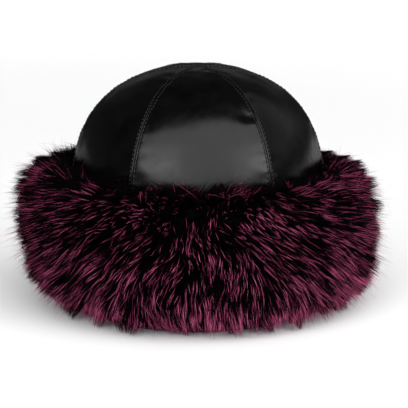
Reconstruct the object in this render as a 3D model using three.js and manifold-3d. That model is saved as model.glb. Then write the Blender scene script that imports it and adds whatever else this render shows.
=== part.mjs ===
// A winter toque: a domed crown of six leather gores above a deep fur cuff.
//
// Millimetres, +Z up. The origin is the middle of the foot that the cuff stands on. The wearer looks
// along -Y, so the front gore faces -Y and two of the seams run up the left and right sides.
// The crown is six walls with a narrow seam between neighbours. The cuff is one ring of underfur with
// frills of locks fused to it, cut clear of the crown, so the hollow for the head is open from below.

import * as THREE from 'three';
import { mergeVertices } from 'three/addons/utils/BufferGeometryUtils.js';
import Module from 'manifold-3d';

// Crown
const crownHalfWidth = 100; // at the side seams, where the crown is widest
const crownHalfLength = 109; // front to back
const crownTop = 186;
const widestHeight = 85;
const rimHeight = 22; // lower edge of the leather, up inside the fur
const rimShare = 0.895; // size of the rim as a share of the widest oval
const domeSquareness = 2.4; // 2 is an ellipse, more is fuller at the shoulder
const leatherWall = 2;
const goreNames = ['front', 'front_left', 'back_left', 'back', 'back_right', 'front_right'];
const seamGap = 0.3;
const seamDip = 1.1; // how far the edge of a gore turns in at its seam
const topOpening = 2; // radius at which the six points of the gores end
const topDimple = { depth: 2.4, radius: 13 };

// How flat a gore is between its seams: 0 is part of the oval, 1 is a straight chord.
const flatnessByClimb = [
  { climb: 0.0, flatness: 0.05 },
  { climb: 0.3, flatness: 0.3 },
  { climb: 0.55, flatness: 0.42 },
  { climb: 0.85, flatness: 0.4 },
  { climb: 1.0, flatness: 0.2 },
];

// Where a gore is divided, from its left seam at -1 to its right seam at 1, and how many levels it has.
const goreColumns = [-1, -0.9, -0.6, -0.2, 0.2, 0.6, 0.9, 1];
const wallLevels = 3; // from the rim to the widest oval
const domeLevels = 9; // from there to the top
const wallShare = 0.38; // share of the climb that the wall takes
const lastDomeTurn = 0.9945; // share of a quarter turn at which the gores end
const slopeStep = 0.002; // share of the climb over which the profile's slope is taken

// Cuff
const crownClearance = 0.35;
const locksRound = 32;
const fanHeight = 70; // the hair of the pelt fans up and down from this height
const fanSpread = 0.35;
const peltReach = 5;
const innerReach = -16; // the underfur runs in to here before the crown's core trims it
const mouthFlare = 9; // how much wider the opening is at the floor than at the rim
const floorCutDepth = 40;

// The fur's outline seen from the front, from its foot to its top. Reach is measured out from the
// crown's widest oval, and underfur is the share of the fur's depth that is a solid mass.
const furOutline = [
  { height: -3, reach: 3, underfur: 1.0 },
  { height: -4, reach: 12, underfur: 1.0 },
  { height: -1, reach: 22, underfur: 0.92 },
  { height: 8, reach: 33, underfur: 0.82 },
  { height: 22, reach: 40, underfur: 0.78 },
  { height: 43, reach: 44, underfur: 0.76 },
  { height: 66, reach: 45, underfur: 0.76 },
  { height: 86, reach: 42.5, underfur: 0.76 },
  { height: 100, reach: 36.5, underfur: 0.77 },
  { height: 109, reach: 27, underfur: 0.8 },
  { height: 114, reach: 15, underfur: 0.84 },
  { height: 116, reach: 3, underfur: 0.9 },
];

// Frills of locks from the foot of the cuff to its top. Place runs along furOutline, from 0 to 1, and
// lean is how far along it the tips are combed down.
const frills = [
  { place: 0.14, spread: 0.08, lean: 0.035 },
  { place: 0.26, spread: 0.09, lean: 0.055 },
  { place: 0.38, spread: 0.09, lean: 0.07 },
  { place: 0.5, spread: 0.09, lean: 0.07 },
  { place: 0.62, spread: 0.09, lean: 0.06 },
  { place: 0.74, spread: 0.09, lean: 0.045 },
  { place: 0.86, spread: 0.09, lean: 0.025 },
  { place: 0.965, spread: 0.06, lean: 0.01 },
];

// A frill's section down the middle of a lock and down the valley between two. Side is a share of the
// frill's spread, and depth a share of the fur's.
const lockSection = [
  { side: -0.7, depth: 0.68 },
  { side: -0.25, depth: 1.0 },
  { side: 0.5, depth: 0.9 },
  { side: 1, depth: 0.68 },
];
const valleySection = [
  { side: -0.6, depth: 0.68 },
  { side: 0.0, depth: 0.84 },
  { side: 0.45, depth: 0.82 },
  { side: 0.9, depth: 0.68 },
];
const lockScatter = { length: 0.05, turn: 0.6, place: 0.025 };

const leatherMaterial = new THREE.MeshStandardMaterial({ color: 0x101112, roughness: 0.36 });
const furMaterial = new THREE.MeshStandardMaterial({ color: 0x3c1026, roughness: 0.85 });

const { lerp, clamp } = THREE.MathUtils;
const wasm = await Module();
wasm.setup();

// Reads a short table at a value of one column, in straight lines between its rows.
function readTable(table, column, value, wanted) {
  const last = table.length - 1;
  let row = 0;
  while (row < last - 1 && value > table[row + 1][column]) {
    row += 1;
  }
  const low = table[row];
  const high = table[row + 1];
  const share = clamp((value - low[column]) / (high[column] - low[column]), 0, 1);
  return lerp(low[wanted], high[wanted], share);
}

// A repeatable number from -1 to 1 for each seed.
function scatter(seed) {
  const wave = Math.sin(seed * 12.9898 + 4.1) * 43758.5453;
  return 2 * (wave - Math.floor(wave)) - 1;
}

function polarPoint(distance, angle, height) {
  return new THREE.Vector3(distance * Math.cos(angle), distance * Math.sin(angle), height);
}

// Distance from the axis to the crown's widest oval.
function ovalRadius(angle) {
  const across = crownHalfLength * Math.cos(angle);
  const along = crownHalfWidth * Math.sin(angle);
  return (crownHalfWidth * crownHalfLength) / Math.hypot(across, along);
}

// Share of the widest oval, and height, at a climb from 0 at the rim to 1 at the top.
function crownProfile(climb) {
  if (climb < wallShare) {
    const rise = climb / wallShare;
    return {
      share: lerp(rimShare, 1, Math.sin((rise * Math.PI) / 2)),
      height: lerp(rimHeight, widestHeight, rise),
    };
  }
  const turn = ((climb - wallShare) / (1 - wallShare)) * lastDomeTurn * (Math.PI / 2);
  const power = 2 / domeSquareness;
  return {
    share: Math.cos(turn) ** power,
    height: lerp(widestHeight, crownTop, Math.sin(turn) ** power),
  };
}

// A point of a gore; gore 0 faces -Y. Across runs from -1 at one seam to 1 at the other, and offset is
// out from the leather's outer face, square to the profile.
function gorePoint(gore, across, climb, offset) {
  const here = crownProfile(climb);
  const before = crownProfile(Math.max(0, climb - slopeStep));
  const after = crownProfile(Math.min(1, climb + slopeStep));
  const rise = after.height - before.height;
  const run = (after.share - before.share) * crownHalfWidth;
  const slope = Math.hypot(rise, run);

  const halfGore = Math.PI / goreNames.length;
  const middle = -Math.PI / 2 - gore * 2 * halfGore;
  const plainRadius = ovalRadius(middle + across * halfGore) * here.share;
  const halfGapAngle = seamGap / 2 / Math.max(plainRadius, topOpening);
  const turn = across * (halfGore - halfGapAngle);
  const flatness = readTable(flatnessByClimb, 'climb', climb, 'flatness');
  const chord = Math.cos(halfGore) / Math.cos(turn);
  const radius = ovalRadius(middle + turn) * here.share * lerp(1, chord, flatness);

  const dimple = topDimple.depth * Math.exp(-((radius / topDimple.radius) ** 2));
  const out = Math.abs(across) === 1 ? offset - seamDip : offset;
  const distance = radius + (out * rise) / slope;
  return polarPoint(distance, middle + turn, here.height - dimple - (out * run) / slope);
}

// The climbs at which the crown is divided.
const crownClimbs = [];
for (let level = 0; level < wallLevels; level += 1) {
  crownClimbs.push((level / wallLevels) * wallShare);
}
for (let level = 0; level <= domeLevels; level += 1) {
  crownClimbs.push(lerp(wallShare, 1, level / domeLevels));
}

// A closed surface from rings of points. The last ring joins the first in a torus; otherwise each end
// ring is closed by a strip between its first half and its second half.
function closedSurface(rings, isTorus) {
  const count = rings[0].length;
  const triangles = [];
  const bands = isTorus ? rings.length : rings.length - 1;
  for (let band = 0; band < bands; band += 1) {
    const low = band * count;
    const high = ((band + 1) % rings.length) * count;
    for (let i = 0; i < count; i += 1) {
      const j = (i + 1) % count;
      triangles.push(low + i, low + j, high + j, low + i, high + j, high + i);
    }
  }
  if (!isTorus) {
    const last = (rings.length - 1) * count;
    for (let i = 0; i < count / 2 - 1; i += 1) {
      const [a, b, c, d] = [i, i + 1, count - 2 - i, count - 1 - i];
      triangles.push(c, b, a, d, c, a);
      triangles.push(last + a, last + b, last + c, last + a, last + c, last + d);
    }
  }
  const points = rings.flat().flatMap((point) => point.toArray());
  const geometry = new THREE.BufferGeometry();
  geometry.setAttribute('position', new THREE.Float32BufferAttribute(points, 3));
  geometry.setIndex(triangles);
  geometry.computeVertexNormals();
  return geometry;
}

function toSolid(geometry) {
  const bare = new THREE.BufferGeometry();
  bare.setAttribute('position', geometry.attributes.position);
  bare.setIndex(geometry.index);
  const merged = mergeVertices(bare, 1e-4);
  return new wasm.Manifold(new wasm.Mesh({
    numProp: 3,
    vertProperties: new Float32Array(merged.attributes.position.array),
    triVerts: new Uint32Array(merged.index.array),
  }));
}

function toGeometry(solid) {
  const mesh = solid.getMesh();
  const geometry = new THREE.BufferGeometry();
  geometry.setAttribute('position', new THREE.Float32BufferAttribute(mesh.vertProperties, 3));
  geometry.setIndex([...mesh.triVerts]);
  geometry.computeVertexNormals();
  return geometry;
}

function makeMesh(name, geometry, material) {
  const mesh = new THREE.Mesh(geometry, material);
  mesh.name = name;
  return mesh;
}

// One gore: a wall whose section at each climb runs along its outer face and back along its inner face.
function makeGore(gore) {
  const rings = crownClimbs.map((climb) => [
    ...goreColumns.map((across) => gorePoint(gore, across, climb, 0)),
    ...goreColumns.toReversed().map((across) => gorePoint(gore, across, climb, -leatherWall)),
  ]);
  return closedSurface(rings, false);
}

// What the cuff is cut clear of: the crown's outer face, bridged over its seams, and the flaring mouth
// below its rim.
function makeCrownCore() {
  const columns = goreColumns.slice(1, -1);
  const rings = crownClimbs.map((climb) => {
    const gores = goreNames.map((_, place) => (goreNames.length - place) % goreNames.length);
    return gores.flatMap((gore) => columns.map((across) => gorePoint(gore, across, climb, crownClearance)));
  });
  const mouth = rings[0].map((point) => {
    const radius = Math.hypot(point.x, point.y);
    return point.clone().multiplyScalar((radius + mouthFlare) / radius);
  });
  rings.unshift(mouth.map((point) => point.clone().setZ(0)));
  rings.unshift(mouth.map((point) => point.clone().setZ(-floorCutDepth)));
  return toSolid(closedSurface(rings, false));
}

// A point of the fur in the plane at an angle. Place runs along furOutline, and depth from 0 at the
// pelt to 1 at the outline.
const outlinePlaces = furOutline.map((row, i) => ({ place: i / (furOutline.length - 1), ...row }));
function furPoint(angle, place, depth) {
  const tipHeight = readTable(outlinePlaces, 'place', place, 'height');
  const tipReach = readTable(outlinePlaces, 'place', place, 'reach');
  const rootHeight = lerp(fanHeight, tipHeight, fanSpread);
  const distance = ovalRadius(angle) + lerp(peltReach, tipReach, depth);
  return polarPoint(distance, angle, lerp(rootHeight, tipHeight, depth));
}

// The underfur: a closed ring round the crown, whose inner side the crown's core trims.
function makeUnderfur() {
  const rings = [];
  for (let step = locksRound; step > 0; step -= 1) {
    const angle = (step / locksRound) * 2 * Math.PI;
    const outer = outlinePlaces.map((row) => furPoint(angle, row.place, row.underfur));
    const distance = ovalRadius(angle) + innerReach;
    const inner = [outer.at(-1), outer[0]].map((end) => polarPoint(distance, angle, end.z));
    rings.push([...outer, ...inner]);
  }
  return toSolid(closedSurface(rings, true));
}

// A frill: a ring that is thick and long down the middle of each lock, and thin and short between two.
function makeFrill(frill, number) {
  const stagger = (number % 2) / 2;
  const root = lockSection[0].depth;
  const rings = [];
  for (let half = 2 * locksRound; half > 0; half -= 1) {
    const section = half % 2 === 0 ? lockSection : valleySection;
    const seed = number * 2 * locksRound + half;
    const angle = ((half / 2 + stagger) / locksRound) * 2 * Math.PI;
    const turn = (lockScatter.turn * scatter(seed)) / locksRound;
    const shift = lockScatter.place * scatter(seed + 0.4);
    const length = 1 + lockScatter.length * scatter(seed + 0.7);
    rings.push(section.map((row) => {
      const outer = (row.depth - root) / (1 - root);
      const place = frill.place + frill.spread * row.side + (shift - frill.lean) * outer;
      return furPoint(angle + turn * outer, clamp(place, 0, 1), row.depth * length);
    }));
  }
  return toSolid(closedSurface(rings, true));
}

// The ground that the cuff's foot is flattened on.
function makeGround() {
  const side = 4 * crownHalfLength;
  const box = new THREE.BoxGeometry(side, side, floorCutDepth);
  box.translate(0, 0, -floorCutDepth / 2);
  return toSolid(box);
}

function makeCuff() {
  const frillSolids = frills.map(makeFrill);
  const fur = frillSolids.reduce((whole, frill) => whole.add(frill), makeUnderfur());
  return toGeometry(fur.subtract(makeCrownCore()).subtract(makeGround()));
}

const crown = new THREE.Group();
goreNames.forEach((name, gore) => {
  crown.add(makeMesh(`crown_gore_${name}`, makeGore(gore), leatherMaterial));
});

const toque = new THREE.Group();
toque.add(crown, makeMesh('fur_cuff', makeCuff(), furMaterial));

export default toque;
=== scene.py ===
"""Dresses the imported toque: six sewn leather gores, and a deep cuff of long fur.

Sizes are in millimetres and become metres where a mesh is made. The front faces -Y, and +X is on the
right of the photograph. Names follow the solids: a gore runs from its left seam at -1 to its right seam
at 1, and climbs from 0 at the rim to 1 at the top. The fur's place runs from 0 at its foot to 1 at its
top, and its depth from 0 at the hide to 1 at the outline.
"""

from __future__ import annotations

import logging
import math
from dataclasses import dataclass
from enum import Enum
from typing import Any

import bpy
import numpy as np
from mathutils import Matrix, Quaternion, Vector

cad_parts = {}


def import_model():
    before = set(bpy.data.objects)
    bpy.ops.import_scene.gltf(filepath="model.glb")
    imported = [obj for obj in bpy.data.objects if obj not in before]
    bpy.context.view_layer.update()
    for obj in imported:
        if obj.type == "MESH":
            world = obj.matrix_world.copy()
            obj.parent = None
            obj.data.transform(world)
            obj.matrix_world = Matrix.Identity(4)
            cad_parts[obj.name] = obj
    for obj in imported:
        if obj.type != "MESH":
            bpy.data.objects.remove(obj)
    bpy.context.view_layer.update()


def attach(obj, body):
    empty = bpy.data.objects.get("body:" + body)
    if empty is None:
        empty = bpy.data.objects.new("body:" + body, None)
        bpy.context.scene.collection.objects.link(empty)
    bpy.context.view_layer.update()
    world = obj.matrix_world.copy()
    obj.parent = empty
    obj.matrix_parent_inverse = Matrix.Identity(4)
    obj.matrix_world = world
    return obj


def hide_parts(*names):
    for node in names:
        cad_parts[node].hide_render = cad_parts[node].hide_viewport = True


LOG = logging.getLogger("toque")
MM = 0.001
BODY = "root"
BAKE_MAP = "OFBake"
KEPT_ATTRIBUTES = ("position", "sharp_face", "material_index", BAKE_MAP)

Array = np.ndarray
Socket = bpy.types.NodeSocket
Material = bpy.types.Material
Colour = tuple[float, float, float]
Span = tuple[float, float]  # a low and a high value, or a middle and a width where it says band
WHITE = (1.0, 1.0, 1.0, 1.0)


class Slot(Enum):
    """The record's material slots."""

    LEATHER = "crown_leather"
    FUR = "cuff_fur"


class Blend(Enum):
    """What a Mix node blends: its kind, and the numbers of its first input and its result."""

    NUMBER = ("FLOAT", 2, 0)
    VECTOR = ("VECTOR", 4, 1)
    COLOUR = ("RGBA", 6, 2)


# Shapes


@dataclass(frozen=True)
class Waves:
    """Smooth random waves through space."""

    height: float
    spacing: float  # about how far apart two crests are
    seed: int
    count: int = 9
    spacing_range: Span = (0.7, 1.5)  # of the single waves, as shares of the spacing

    def at(self, points: Array, shift: int = 0) -> Array:
        """Gives the waves at each point.

        Args:
            points: Places in millimetres, with the coordinates on the last axis.
            shift: Added to the seed, for another pattern of the same waves.

        Returns:
            Values from about the height below 0 to the height above it.
        """
        rng = np.random.default_rng(self.seed + shift)
        ways = rng.normal(size=(self.count, 3))
        ways /= np.linalg.norm(ways, axis=1)[:, None]
        turns = 2 * np.pi / (self.spacing * rng.uniform(*self.spacing_range, self.count))
        phases = rng.uniform(0, 2 * np.pi, self.count)
        total = sum(np.sin(points @ way * turn + phase) for way, turn, phase in zip(ways, turns, phases))
        return self.height * (total / math.sqrt(2 * self.count))


def bell(value: Array, middle: float, width: float) -> Array:
    """Gives 1 at the middle, falling off over a width."""
    return np.exp(-(((value - middle) / width) ** 2))


def smooth_step(value: Array, low: float, high: float) -> Array:
    """Gives 0 below low and 1 above high, with a soft rise between them."""
    share = np.clip((value - low) / (high - low), 0, 1)
    return share * share * (3 - 2 * share)


def plateau(value: Array, rise: Span, fall: Span) -> Array:
    """Gives 1 between a soft rise and a soft fall, and 0 outside them."""
    return smooth_step(value, *rise) * (1 - smooth_step(value, *fall))


def polar(distance: Array, angle: Array, height: Array) -> Array:
    """Gives points at a distance from the axis, an angle round it and a height."""
    parts = np.broadcast_arrays(distance * np.cos(angle), distance * np.sin(angle), height)
    return np.stack(parts, axis=-1)


def direction(azimuth: float, elevation: float) -> Vector:
    """Gives the way from the hat to an azimuth, in degrees from the front, and an elevation."""
    turn, climb = math.radians(azimuth), math.radians(elevation)
    return Vector((math.sin(turn) * math.cos(climb), -math.cos(turn) * math.cos(climb), math.sin(climb)))


@dataclass(frozen=True)
class CrownShape:
    """The outer face of the crown: the solids' form, with a faint dimple where the seams meet."""

    half_width: float = 100.0
    half_length: float = 109.0
    top: float = 186.0
    widest_height: float = 85.0
    rim_height: float = 22.0
    rim_share: float = 0.895  # of the widest oval, at the rim
    squareness: float = 2.4  # of the dome's section, where 2 is an ellipse
    wall_share: float = 0.38  # the climb where the wall turns into the dome
    last_turn: float = 0.9996  # share of a quarter turn at the top, where a gore is still just open
    gore_count: int = 6
    flat_climbs: tuple[float, ...] = (0.0, 0.3, 0.55, 0.85, 1.0)
    flatnesses: tuple[float, ...] = (0.05, 0.3, 0.42, 0.4, 0.2)  # of the gores, at those climbs
    dimple_depth: float = 0.3
    dimple_radius: float = 13.0
    slope_step: float = 0.001  # of climb, over which a slope is read
    length_steps: int = 4000  # over which the profile's length is measured
    hidden_height: float = 98.0  # the fur covers the crown up to here

    @property
    def half_gore(self) -> float:
        """Half the angle between two seams."""
        return math.pi / self.gore_count

    def oval(self, angle: Array) -> Array:
        """Gives the distance from the axis to the widest oval."""
        stretch = np.hypot(self.half_length * np.cos(angle), self.half_width * np.sin(angle))
        return self.half_width * self.half_length / stretch

    def profile(self, climb: Array) -> tuple[Array, Array]:
        """Gives the crown's section.

        Args:
            climb: From 0 at the rim to 1 at the top.

        Returns:
            The share of the widest oval, and the height.
        """
        rise = np.clip(climb / self.wall_share, 0, 1)
        turn = np.clip((climb - self.wall_share) / (1 - self.wall_share), 0, 1) * self.last_turn
        turn = turn * math.pi / 2
        power = 2 / self.squareness
        wall = self.rim_share + (1 - self.rim_share) * np.sin(rise * math.pi / 2)
        share = np.where(climb < self.wall_share, wall, np.cos(turn) ** power)
        wall_height = self.rim_height + (self.widest_height - self.rim_height) * rise
        dome_height = self.widest_height + (self.top - self.widest_height) * np.sin(turn) ** power
        return share, np.where(climb < self.wall_share, wall_height, dome_height)

    def surface(self, middle: Array | float, turn: Array, climb: Array, out: Array | float) -> Array:
        """Gives points of a gore.

        Args:
            middle: The angle of the gore's middle.
            turn: The angle from there, up to half a gore each way.
            climb: From 0 at the rim to 1 at the top.
            out: The distance out from the outer face.

        Returns:
            The points.
        """
        share, height = self.profile(climb)
        low_share, low_height = self.profile(np.maximum(climb - self.slope_step, 0))
        high_share, high_height = self.profile(np.minimum(climb + self.slope_step, 1))
        rise = high_height - low_height
        run = (high_share - low_share) * self.half_width
        slope = np.hypot(rise, run)
        flatness = np.interp(climb, self.flat_climbs, self.flatnesses)
        chord = math.cos(self.half_gore) / np.cos(turn)
        angle = middle + turn
        radius = self.oval(angle) * share * (1 + flatness * (chord - 1))
        dimple = self.dimple_depth * bell(radius, 0.0, self.dimple_radius)
        return polar(radius + out * rise / slope, angle, height - dimple - out * run / slope)

    def surface_at(self, angle: Array, climb: Array, out: float) -> Array:
        """Gives points of the whole crown.

        Args:
            angle: Any angle round the hat.
            climb: From 0 at the rim to 1 at the top.
            out: The distance out from the outer face.

        Returns:
            The points.
        """
        step = 2 * self.half_gore
        turn = (angle + math.pi / 2 + self.half_gore) % step - self.half_gore
        return self.surface(angle - turn, turn, climb, out)

    def middle(self, gore: int) -> float:
        """Gives the angle of a gore's middle; gore 0 faces -Y."""
        return -math.pi / 2 - gore * 2 * self.half_gore

    def half_width_at(self, gore: int, climb: Array) -> Array:
        """Gives half a gore's width, along the surface."""
        share, _ = self.profile(climb)
        return self.oval(np.asarray(self.middle(gore))) * share * self.half_gore

    def gore_point(self, gore: int, across: Array, climb: Array, out: Array | float = 0.0) -> Array:
        """Gives points of a gore, from -1 at its left seam to 1 at its right seam."""
        return self.surface(self.middle(gore), across * self.half_gore, climb, out)

    def shown_climbs(self, count: int) -> Array:
        """Gives climbs that are evenly spaced along the part of the profile that shows.

        Args:
            count: How many there are, from where the fur ends to the top.

        Returns:
            The climbs.
        """
        climb = np.linspace(0, 1, self.length_steps)
        share, height = self.profile(climb)
        length = np.hypot(np.diff(share * self.half_width), np.diff(height))
        along = np.concatenate([[0], np.cumsum(length)])
        start = np.interp(self.hidden_height, height, along)
        return np.interp(np.linspace(start, along[-1], count), along, climb)


@dataclass(frozen=True)
class FurShape:
    """The fur's outline all round the crown.

    Its heights are those of the solids. The reaches, and how the sides differ, are fitted to the
    photograph.
    """

    crown: CrownShape
    heights: tuple[float, ...] = (-3, -4, -1, 8, 22, 43, 66, 86, 100, 109, 114, 116)
    reaches: tuple[float, ...] = (0, 3, 9, 22, 36, 44.5, 46.5, 44, 37.5, 27, 15, 3)
    hide_reach: float = 5.0
    fan_height: float = 70.0  # the height that the hair fans out from
    fan_spread: float = 0.6  # how far from it a root lies, as a share of its tip's distance
    floor_clearance: float = 0.8
    right_foot: float = 7.5  # how much more the foot stands out on the right
    front_foot: float = -1.5  # and in front
    foot_rise: Span = (0.0, 0.12)
    foot_fall: Span = (0.3, 0.55)
    left_shoulder: float = 6.5  # how much more the upper part stands out on the left
    shoulder_rise: Span = (0.5, 0.72)
    shoulder_fall: Span = (0.88, 1.0)

    def read(self, table: tuple[float, ...], place: Array) -> Array:
        """Reads a column of the outline on a smooth curve through its rows.

        Args:
            table: The column, from the foot to the top.
            place: From 0 at the foot to 1 at the top.

        Returns:
            The column's value at each place.
        """
        rows = np.asarray(table, float)
        ends = np.concatenate([[2 * rows[0] - rows[1]], rows, [2 * rows[-1] - rows[-2]]])
        where = np.clip(place, 0, 1) * (len(rows) - 1)
        row = np.minimum(where.astype(int), len(rows) - 2)
        t = where - row
        a, b, c, d = ends[row], ends[row + 1], ends[row + 2], ends[row + 3]
        return b + 0.5 * t * (c - a + t * (2 * a - 5 * b + 4 * c - d + t * (3 * (b - c) + d - a)))

    def point(self, angle: Array, place: Array, depth: Array | float) -> Array:
        """Gives points of the fur, none of them below the floor.

        Args:
            angle: The angle round the hat.
            place: From 0 at the foot to 1 at the top.
            depth: From 0 at the hide to 1 at the outline.

        Returns:
            The points.
        """
        tip_height = self.read(self.heights, place)
        tip_reach = self.read(self.reaches, place)
        right, left = np.maximum(np.cos(angle), 0), np.maximum(-np.cos(angle), 0)
        front = np.maximum(-np.sin(angle), 0)
        foot = plateau(place, self.foot_rise, self.foot_fall)
        shoulder = plateau(place, self.shoulder_rise, self.shoulder_fall)
        tip_reach = tip_reach + (self.right_foot * right + self.front_foot * front) * foot
        tip_reach = tip_reach + self.left_shoulder * left * shoulder
        root_height = self.fan_height + (tip_height - self.fan_height) * self.fan_spread
        distance = self.crown.oval(angle) + self.hide_reach + (tip_reach - self.hide_reach) * depth
        height = root_height + (tip_height - root_height) * depth
        return polar(distance, angle, np.maximum(height, self.floor_clearance))


# Meshes


def grid_faces(rows: int, columns: int, wrap_rows: bool, wrap_columns: bool) -> Array:
    """Gives the four-cornered faces of a grid of points.

    Args:
        rows: How many rows of points there are.
        columns: How many points a row has.
        wrap_rows: Whether the last row joins the first.
        wrap_columns: Whether each row's last point joins its first.

    Returns:
        Four point numbers for each face.
    """
    row = np.arange(rows if wrap_rows else rows - 1)[:, None]
    column = np.arange(columns if wrap_columns else columns - 1)[None, :]
    next_row = (row + 1) % rows
    next_column = (column + 1) % columns
    corners = (
        row * columns + column,
        row * columns + next_column,
        next_row * columns + next_column,
        next_row * columns + column,
    )
    return np.stack([corner.ravel() for corner in np.broadcast_arrays(*corners)], axis=1)


def make_object(
    name: str,
    points: Array,
    faces: Array | tuple = (),
    edges: Array | tuple = (),
    materials: tuple[Material, ...] = (),
    is_second: Array | None = None,
) -> bpy.types.Object:
    """Makes a smooth mesh object in the scene.

    Args:
        name: The piece's name.
        points: Its points in millimetres.
        faces: Point numbers for each face.
        edges: Pairs of point numbers for edges without faces.
        materials: Its materials, the first on every face.
        is_second: Which faces have the second material instead.

    Returns:
        The object.
    """
    mesh = bpy.data.meshes.new(name)
    places = points.reshape(-1, 3) * MM
    mesh.from_pydata(places.tolist(), np.asarray(edges).tolist(), np.asarray(faces).tolist())
    mesh.shade_smooth()
    for material in materials:
        mesh.materials.append(material)
    if is_second is not None:
        mesh.polygons.foreach_set("material_index", is_second.astype(np.int32))
    piece = bpy.data.objects.new(name, mesh)
    bpy.context.scene.collection.objects.link(piece)
    return piece


def set_attribute(mesh: bpy.types.Mesh, name: str, values: Array) -> None:
    """Keeps a number or a vector on each point of a mesh.

    Args:
        mesh: The mesh.
        name: The attribute's name.
        values: A number or three for each point.
    """
    is_vector = values.ndim > 1 and values.shape[-1] == 3
    kind = "FLOAT_VECTOR" if is_vector else "FLOAT"
    attribute = mesh.attributes.new(name, kind, "POINT")
    attribute.data.foreach_set("vector" if is_vector else "value", values.astype(np.float32).ravel())


def make_plain(piece: bpy.types.Object) -> bpy.types.Object:
    """Turns what a piece's modifiers make into its own plain mesh.

    Args:
        piece: The piece.

    Returns:
        The same piece, without modifiers.
    """
    graph = bpy.context.evaluated_depsgraph_get()
    old = piece.data
    made = bpy.data.meshes.new_from_object(piece.evaluated_get(graph), depsgraph=graph)
    made.name = piece.name
    piece.modifiers.clear()
    piece.data = made
    bpy.data.meshes.remove(old)
    for name in [attribute.name for attribute in made.attributes]:
        attribute = made.attributes.get(name)
        if not (attribute.is_internal or attribute.is_required or name in KEPT_ATTRIBUTES):
            made.attributes.remove(attribute)
    return piece


def triangle_count(piece: bpy.types.Object) -> int:
    """Counts a plain mesh's triangles."""
    piece.data.calc_loop_triangles()
    return len(piece.data.loop_triangles)


# Node trees


class Nodes:
    """A short way to build a node tree."""

    def __init__(self, tree: bpy.types.NodeTree) -> None:
        """Starts in a tree, which is emptied."""
        self.tree = tree
        tree.nodes.clear()

    def add(self, kind: str, inputs: dict[str | int, Any] | None = None, **settings: Any) -> bpy.types.Node:
        """Adds a node.

        Args:
            kind: Blender's name for the kind of node.
            inputs: A socket or a value for each named or numbered input.
            settings: The node's own settings.

        Returns:
            The node.
        """
        node = self.tree.nodes.new(kind)
        for name, value in settings.items():
            setattr(node, name, value)
        for name, value in (inputs or {}).items():
            self.put(value, node.inputs[name])
        return node

    def put(self, value: Any, socket: Socket) -> None:
        """Joins a socket to an input, or sets the input to a value.

        Args:
            value: The socket or the value, or None to leave the input as it is.
            socket: The input.
        """
        if isinstance(value, bpy.types.NodeSocket):
            self.tree.links.new(value, socket)
        elif value is not None:
            socket.default_value = value

    def math(self, operation: str, first: Any, second: Any = None) -> Socket:
        """Adds a sum of one or two numbers, and returns its result."""
        node = self.add("ShaderNodeMath", {0: first, 1: second}, operation=operation)
        return node.outputs[0]

    def blend(self, kind: Blend, share: Any, first: Any, second: Any) -> Socket:
        """Adds a blend of two values.

        Args:
            kind: What kind of value it blends.
            share: How much of the second there is.
            first: The value at a share of 0.
            second: The value at a share of 1.

        Returns:
            The blended value.
        """
        data_type, first_input, result = kind.value
        inputs = {"Factor": share, first_input: first, first_input + 1: second}
        return self.add("ShaderNodeMix", inputs, data_type=data_type).outputs[result]


class ShaderNodes(Nodes):
    """A short way to build the nodes of a material, a light or the surround."""

    def mix(self, share: Any, first: Any, second: Any) -> Socket:
        """Adds a mix of two colours, each a socket or a plain colour, and returns its result."""
        colours = [(*colour, 1.0) if isinstance(colour, tuple) else colour for colour in (first, second)]
        return self.blend(Blend.COLOUR, share, *colours)

    def ramp(self, value: Socket, start: Span, end: Span = (0.0, 1.0)) -> Socket:
        """Adds a soft change of a number.

        Args:
            value: What it follows.
            start: The values where the change starts and ends.
            end: The numbers it gives there.

        Returns:
            The changed number.
        """
        inputs = {"Value": value, "From Min": start[0], "From Max": start[1]}
        inputs |= {"To Min": end[0], "To Max": end[1]}
        node = self.add("ShaderNodeMapRange", inputs, interpolation_type="SMOOTHSTEP")
        return node.outputs["Result"]

    def place(self) -> Socket:
        """Gives places on the surface, in metres."""
        return self.add("ShaderNodeTexCoord").outputs["Object"]

    def mottle(self, scale: float) -> Socket:
        """Places the mottle group at a scale, and returns its value."""
        return self.add("ShaderNodeGroup", {"Scale": scale}, node_tree=mottle_group()).outputs["Value"]


class Surface(ShaderNodes):
    """A material with one Principled shader."""

    def __init__(self, name: str) -> None:
        """Starts the material.

        Args:
            name: Its name.
        """
        self.material = bpy.data.materials.new(name)
        self.material.use_nodes = True
        super().__init__(self.material.node_tree)
        self.shader = self.add("ShaderNodeBsdfPrincipled")
        self.add("ShaderNodeOutputMaterial", {"Surface": self.shader.outputs[0]})

    def dress(self, inputs: dict[str, Any]) -> None:
        """Joins a socket to each named input of the shader, or sets the input to a value."""
        for name, value in inputs.items():
            self.put(value, self.shader.inputs[name])

    def bump(self, height: Socket, strength: float, depth: float) -> None:
        """Gives the surface a fine relief, of a depth in metres."""
        inputs = {"Height": height, "Strength": strength, "Distance": depth}
        self.dress({"Normal": self.add("ShaderNodeBump", inputs).outputs[0]})


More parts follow.
